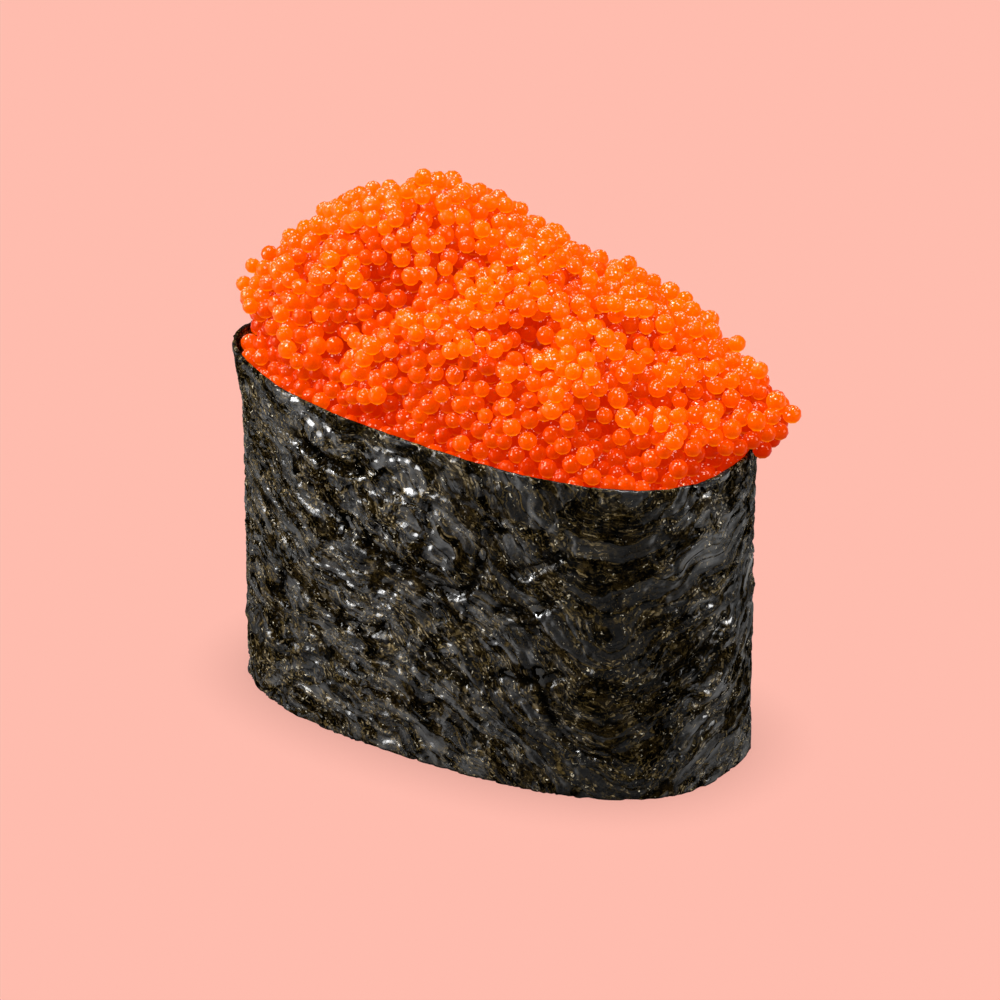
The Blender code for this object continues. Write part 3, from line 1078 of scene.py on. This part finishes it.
def roe_core_material(roe):
    """The inside of the heap, where the eggs are packed out of sight: painted in shade, darker between
    the packed eggs, with a dim painted glow.
    """
    made, board = material_board("roe core")
    packed = board.cells(board.millimetres(), 0.62)
    deep = roe.painted_shade_colour
    shade = tuple(0.7 * c for c in roe.painted_shade_colour)
    surface(
        board,
        {
            "Base Color": board.blend(board.ease(packed, 0.2, 0.8), deep, shade),
            "Roughness": 0.5,
            "Emission Color": roe.painted_deep_glow,
            "Emission Strength": 0.8,
        },
        bumped(board, (1 - packed) * 0.6),
    )
    return made


def merged_copy(node):
    """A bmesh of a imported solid's surface with its loose triangles joined."""
    bm = bmesh.new()
    bm.from_mesh(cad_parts[node].data)
    bmesh.ops.remove_doubles(bm, verts=bm.verts, dist=0.001 * MM)
    bm.normal_update()
    return bm


class Heap:
    """The heap's outline as packed, and how far below it the outermost eggs lie."""

    def __init__(self, nori, roe):
        self.nori, self.roe = nori, roe
        bm = merged_copy("roe_heap")
        self.tree = BVHTree.FromBMesh(bm)
        bmesh.ops.triangulate(bm, faces=bm.faces)
        self.corners = np.array([[v.co for v in f.verts] for f in bm.faces])
        bm.free()
        self.whole = neighbours(SET_EGGS)

    def dug(self, point):
        """How deep the heap is carved here: in caves, in hollows and between rows of eggs."""
        above = point.z - rim_height(self.nori, point.x, point.y)
        hold = smoothstep(-1.5 * MM, 1.5 * MM, above)
        if hold == 0:
            return 0.0
        mm = point / MM
        cave = sum(bell((mm - Vector(place)).length, radius) for place, radius in CAVES)
        hollow = smoothstep(0.08, 0.5, noise.noise(mm / 4.6 + Vector(HOLLOW_SHIFT)))
        row = min(1.0, 3.0 * abs(noise.noise(mm / 4.4)))
        carved = self.roe.cave * min(1.0, cave + 0.7 * hollow) + self.roe.chain * row
        return hold * carved * (1 - bell(self.whole.find(mm)[2], SET_CLEAR))

    def under(self, point):
        """How far an egg here lies below the carved outline, the way out, and how deep it is carved."""
        near, out, _, away = self.tree.find_nearest(point)
        depth = away if (point - near).dot(out) < 0 else -away
        dug = self.dug(point)
        return depth - self.roe.egg + self.roe.proud - dug, out, dug

    def scatter(self, count, deepest, low, draw):
        """Points at random under the surface, above a height."""
        a, b, c = (self.corners[:, k] for k in range(3))
        normals = np.cross(b - a, c - a)
        areas = np.linalg.norm(normals, axis=1)
        normals /= areas[:, None]
        weights = areas * (self.corners[:, :, 2].max(1) > low)
        picked = draw.choice(len(areas), count, p=weights / weights.sum())
        u, v = draw.random(count), draw.random(count)
        over = u + v > 1
        u[over], v[over] = 1 - u[over], 1 - v[over]
        points = a[picked] + u[:, None] * (b - a)[picked] + v[:, None] * (c - a)[picked]
        return points - normals[picked] * (draw.random(count) * deepest)[:, None]


def first_places(heap, roe, draw):
    """Rough places for the eggs: each takes the outermost one that is still free."""
    nori = heap.nori
    apart = 2 * roe.egg * roe.crowding
    taken, places = {}, []

    def try_place(point):
        cell = tuple(int(math.floor(v / apart)) for v in point)
        for step in np.ndindex(3, 3, 3):
            near = taken.get(tuple(c + d - 1 for c, d in zip(cell, step)), ())
            if any((other - point).length_squared < apart * apart for other in near):
                return
        taken.setdefault(cell, []).append(point)
        places.append(point)

    for place in SET_EGGS:
        try_place(Vector(place) * MM)
    for place in list(places):
        out = heap.tree.find_nearest(place)[1]
        for depth in BACKING:
            try_place(place - out * depth * roe.egg)
    fixed = len(places)
    lowest = nori.height - END_TILT - LOWEST_EGG
    ranked = []
    for spot in heap.scatter(roe.tries, roe.layers + roe.egg + roe.cave, lowest, draw):
        point = Vector(spot)
        if point.z < rim_height(nori, point.x, point.y) - UNDER_RIM:
            continue
        under = heap.under(point)[0]
        if 0.0 <= under <= roe.layers:
            ranked.append((under, tuple(point)))
    for _, point in sorted(ranked):
        try_place(Vector(point))
    return places, fixed


def jostle(places, fixed, heap, roe):
    """Pushes the eggs apart until they only touch, and back under the heap's outline."""
    apart = 2 * roe.egg * roe.touch
    for _ in range(roe.rounds):
        tree, moved = neighbours(places), places[:fixed]
        for i in range(fixed, len(places)):
            place = places[i]
            push = Vector()
            for other, j, away in tree.find_range(place, apart):
                if away > 0:
                    push += (place - other) * ((apart - away) / away * (0.9 if j < fixed else 0.5))
            new = place + push
            under, out, _ = heap.under(new)
            if under < 0:
                new += out * under * 0.8
            moved.append(new)
        places = moved
    return places


def openness(places, depths):
    """How far each egg and its clump stand out among those around them, less than 0 in a gap."""
    tree = neighbours(places)

    def mean_near(values, reach):
        """The mean over the neighbours in reach, among those near the surface."""
        found = []
        for i, place in enumerate(places):
            near = [values[j] for _, j, _ in tree.find_range(place, reach) if depths[j] < SURFACE]
            found.append(sum(near) / len(near) if near else values[i])
        return found

    around = mean_near(depths, NEIGHBOURHOOD)
    proud = [(wide - own) / MM for wide, own in zip(around, depths)]
    clump = mean_near(proud, CLUMP)
    return [
        0.32 * own + 1.05 * group - 0.06 * depth / MM
        for own, group, depth in zip(proud, clump, depths)
    ]


def overshadowed(places, reach):
    """How much of the lamps' light the eggs around each egg keep from it."""
    tree, towards, found = neighbours(places), Vector(SHINE_FROM).normalized(), []
    for place in places:
        kept = 0.0
        for other, _, away in tree.find_range(place, reach):
            if away > 0:
                rise = (other - place).dot(towards) / away - 0.35
                kept += max(0.0, rise) * (1 - away / reach)
        found.append(kept)
    return found


def place_eggs(nori, roe, draw):
    """Centres of the eggs, and how bright each is painted, up to 1: painted light where it stands
    openly and faces up, painted shade in gaps, low by the rim and under other eggs.
    """
    heap = Heap(nori, roe)
    places, fixed = first_places(heap, roe, draw)
    places = jostle(places, fixed, heap, roe)
    depths, facing, free = [], [], []
    for place in places:
        under, out, dug = heap.under(place)
        above = place.z - rim_height(nori, place.x, place.y)
        depths.append(under + dug)
        facing.append(out.z)
        free.append(smoothstep(-1.0 * MM, 4.5 * MM, above))
    kept = overshadowed(places, NEIGHBOURHOOD)
    # Painted light and shade: eggs that stand out or face up are painted lighter; eggs in gaps, low by
    # the rim or under other eggs are painted darker.
    bare = [
        (0.3 + 0.7 * clear) * proud + 0.75 * up - 0.50 * (1 - clear) - 0.6 * dim
        for proud, up, clear, dim in zip(openness(places, depths), facing, free, kept)
    ]
    rank = np.argsort(np.argsort(bare)) / len(bare)
    return places, (rank - DARK_SHARE) / (1 - DARK_SHARE)


def egg_tree():
    """Puts an egg on every point."""
    board = geometry_board("roe eggs")
    points = board.given("Geometry", "NodeSocketGeometry")
    detail = board.given("Detail", "NodeSocketInt")
    uneven = board.given("Uneven", "NodeSocketFloat")
    seed = board.given("Seed", "NodeSocketInt")
    material = board.given("Material", "NodeSocketMaterial")
    size = board.stored("size")
    ball = board.node("GeometryNodeMeshIcoSphere", inputs={"Radius": 1.0, "Subdivisions": detail})
    turn = board.random((0.0,) * 3, (2 * math.pi,) * 3, seed)
    least, most = board.combine(*[1 - uneven] * 3), board.combine(*[1 + uneven] * 3)
    stretch = board.random(least, most, seed)
    spot = board.node("GeometryNodeInputPosition")
    points = board.store(points, "middle", spot, "FLOAT_VECTOR")
    eggs = board.copies(points, ball, turn, board.times(stretch, size))
    eggs = board.node("GeometryNodeRealizeInstances", inputs={"Geometry": eggs})
    way = board.vector("SUBTRACT", spot, board.stored("middle", "FLOAT_VECTOR"))
    eggs = board.store(eggs, "way", board.times(way, 1 / size), "FLOAT_VECTOR")
    return board.finished(eggs, material)


def make_eggs(name, places, tones_and_painted_light, roe, draw, material):
    """One piece of single eggs, each a little uneven in size and in the light and shade painted on it.
    """
    mesh = bpy.data.meshes.new(name)
    mesh.from_pydata([tuple(p) for p in places], [], [])
    sizes = roe.egg * (1 + roe.spread * np.clip(draw.standard_normal(len(places)), -1.8, 1.8))
    tones_and_painted_light = np.array(tones_and_painted_light) + 0.06 * draw.standard_normal(len(places))
    set_attribute(mesh, "size", "FLOAT", sizes)
    set_attribute(mesh, "tone", "FLOAT", np.clip(tones_and_painted_light, 0, 1))
    return grow(
        add_object(name, mesh),
        egg_tree(),
        {"Detail": EGG_DETAIL, "Uneven": roe.uneven, "Seed": roe.seed, "Material": material},
    )


def make_roe_core(roe):
    """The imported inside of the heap, a smaller copy of its outline."""
    bm = merged_copy("roe_heap")
    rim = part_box("nori_band")[1].z - CORE_RIM
    moves = [v.normal * -roe.core_inset * smoothstep(rim - CORE_FOOT, rim, v.co.z) for v in bm.verts]
    for v, move in zip(bm.verts, moves):
        v.co += move
    for _ in range(3):
        bmesh.ops.smooth_vert(
            bm, verts=[v for v in bm.verts if v.co.z > rim], factor=0.5,
            use_axis_x=True, use_axis_y=True, use_axis_z=True,
        )
    return mesh_of(bm, "roe_core", roe_core_material(roe))


# --- Stage ---------------------------------------------------------------------------------------


def make_floor(stage):
    """An even glowing floor, with painted shade only where the band comes close to it."""
    made, board = material_board("floor")
    open_air = board.node(
        "ShaderNodeAmbientOcclusion", {"samples": 1}, {"Distance": stage.contact}, "AO"
    )
    shade = tuple(c * stage.shade for c in stage.floor_colour)
    # Painted contact shade: the floor's glow darkens where the band is near.
    glow = board.blend(board.ease(open_air, 0.25, 1.0), shade, stage.floor_colour)
    shine = board.node("ShaderNodeEmission", inputs={"Color": glow})
    board.node("ShaderNodeOutputMaterial", inputs={"Surface": shine})
    bm = bmesh.new()
    bmesh.ops.create_circle(bm, cap_ends=True, segments=64, radius=FLOOR_RADIUS)
    floor = mesh_of(bm, "floor", made)
    floor.visible_glossy = False
    floor.visible_diffuse = False


def make_world(stage):
    """Even light all round, dimmer towards the front; the backdrop is what the camera sees of it."""
    world = bpy.data.worlds.new("studio")
    bpy.context.scene.world = world
    world.use_nodes = True
    board = Board(world.node_tree)
    way = board.node("ShaderNodeTexCoord", output="Generated")
    front, height = board.dot(way, FRONT), board.part(way, "Z")
    level = board.ease(front, 0.35, 0.80, 1.0, 0.10) * board.ease(height, -0.30, 0.0, 1.0, 0.07)
    level = level * board.ease(height, -0.85, -0.52, 0.15, 1.0) * stage.fill
    room = board.node("ShaderNodeBackground", inputs={"Color": (1.0,) * 3, "Strength": level})
    drop = board.node("ShaderNodeBackground", inputs={"Color": stage.floor_colour})
    seen = board.node("ShaderNodeLightPath", output="Is Camera Ray")
    both = board.node("ShaderNodeMixShader", inputs=(seen, room, drop))
    board.node("ShaderNodeOutputWorld", inputs={"Surface": both})


def hang_light(name, towards, size, power):
    """A square softbox that faces the heap."""
    lamp = bpy.data.lights.new(name, "AREA")
    lamp.energy, lamp.size = power, size
    made = add_object(name, lamp)
    made.location = Vector(LIT_SPOT) + Vector(towards).normalized() * LIGHT_DISTANCE
    made.rotation_euler = Vector(towards).to_track_quat("Z", "Y").to_euler()


def stand_camera(stage):
    """A long lens that looks at the middle of the band, then a little up and aside."""
    lens = bpy.data.cameras.new("camera")
    lens.lens, lens.sensor_width = stage.lens, SENSOR
    lens.clip_start, lens.clip_end = CLIP
    camera = add_object("camera", lens)
    turn = Euler((math.pi / 2 - stage.elevation, 0.0, stage.azimuth)).to_matrix()
    camera.location = Vector((0, 0, CAMERA_AIM)) + turn @ Vector((0, 0, stage.distance))
    up, aside = (math.radians(degrees) for degrees in CAMERA_TURN)
    camera.rotation_euler = (turn @ Euler((up, aside, 0.0)).to_matrix()).to_euler()
    bpy.context.scene.camera = camera


# --- Operators -----------------------------------------------------------------------------------


class GUNKAN_OT_set_stage(bpy.types.Operator):
    """Lays the floor, hangs the lights and stands the camera"""

    bl_idname = "gunkan.set_stage"
    bl_label = "Set the stage"

    def execute(self, context):
        stage = context.scene.gunkan_stage
        make_floor(stage)
        make_world(stage)
        for i, towards in enumerate(LAMPS):
            hang_light(f"key {i + 1}", towards, LAMP_SIZE, stage.key / len(LAMPS))
        hang_light("glance", *GLANCE, stage.glance)
        hang_light("side", *SIDE, stage.side)
        stand_camera(stage)
        context.scene.view_settings.view_transform = "Standard"
        return {"FINISHED"}


class GUNKAN_OT_wind_nori(bpy.types.Operator):
    """Winds the sheet of nori round the rice"""

    bl_idname = "gunkan.wind_nori"
    bl_label = "Wind the nori"

    def execute(self, context):
        nori = context.scene.gunkan_nori
        section = nori_profile(nori)
        creases = crease_lines("crease_lines", CREASES)
        ridges = crease_lines("ridge_lines", RIDGES)
        sheet = grow(
            nori_path(nori),
            nori_tree(),
            {
                "Thickness": nori.thickness, "Wave": nori.wave, "Fold": nori.fold,
                "Blade": nori.blade, "Crumple": nori.crumple, "Crease": nori.crease,
                "Ridge": nori.ridge, "Wear": nori.rim_wear, "Section": section,
                "Crease Lines": creases, "Ridge Lines": ridges,
                "Material": nori_material(nori),
            },
        )
        remove(section, creases, ridges)
        sheet.name = "nori_sheet"
        settle(sheet, "nori_band")
        return {"FINISHED"}


class GUNKAN_OT_press_rice(bpy.types.Operator):
    """Presses the block of rice and the grains at its foot"""

    bl_idname = "gunkan.press_rice"
    bl_label = "Press the rice"

    def execute(self, context):
        nori, rice = context.scene.gunkan_nori, context.scene.gunkan_rice
        material = rice_material(rice)
        settle(make_rice_core(nori, rice, material), "rice")
        settle(make_rice_grains(nori, rice, material), None)
        return {"FINISHED"}


class GUNKAN_OT_heap_roe(bpy.types.Operator):
    """Heaps the roe: single eggs over a packed core"""

    bl_idname = "gunkan.heap_roe"
    bl_label = "Heap the roe"

    def execute(self, context):
        nori, roe = context.scene.gunkan_nori, context.scene.gunkan_roe
        draw = np.random.default_rng(roe.seed)
        settle(make_roe_core(roe), "roe_heap")
        places, tones_and_painted_light = place_eggs(nori, roe, draw)
        order = sorted(range(len(places)), key=lambda i: -tones_and_painted_light[i])
        outer, material = int(len(places) * OUTER_SHARE), roe_material(roe)
        for name, chosen in (("roe_eggs", order[:outer]), ("roe_under", order[outer:])):
            eggs, hues_and_painted_light = [places[i] for i in chosen], [tones_and_painted_light[i] for i in chosen]
            settle(make_eggs(name, eggs, hues_and_painted_light, roe, draw, material), None)
        return {"FINISHED"}


class GUNKAN_PT_sidebar(bpy.types.Panel):
    """Lists the settings and the steps of the gunkan"""

    bl_label = "Gunkan sushi"
    bl_space_type = "VIEW_3D"
    bl_region_type = "UI"
    bl_category = "Gunkan"

    def draw(self, context):
        for step, settings in STEPS:
            box = self.layout.box()
            box.operator(step.bl_idname)
            group = getattr(context.scene, settings)
            for name in group.__annotations__:
                box.prop(group, name)


STEPS = (
    (GUNKAN_OT_set_stage, "gunkan_stage"),
    (GUNKAN_OT_wind_nori, "gunkan_nori"),
    (GUNKAN_OT_press_rice, "gunkan_rice"),
    (GUNKAN_OT_heap_roe, "gunkan_roe"),
)
SETTINGS = {
    "gunkan_stage": StageSettings,
    "gunkan_nori": NoriSettings,
    "gunkan_rice": RiceSettings,
    "gunkan_roe": RoeSettings,
}
CLASSES = (*SETTINGS.values(), *(step for step, _ in STEPS), GUNKAN_PT_sidebar)


def register():
    for made in CLASSES:
        bpy.utils.register_class(made)
    for name, group in SETTINGS.items():
        setattr(bpy.types.Scene, name, PointerProperty(type=group))


def unregister():
    for name in SETTINGS:
        delattr(bpy.types.Scene, name)
    for made in reversed(CLASSES):
        bpy.utils.unregister_class(made)


def main():
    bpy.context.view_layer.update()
    register()
    bpy.ops.gunkan.set_stage()
    bpy.ops.gunkan.wind_nori()
    bpy.ops.gunkan.press_rice()
    bpy.ops.gunkan.heap_roe()


if __name__ == "__main__":
    main()
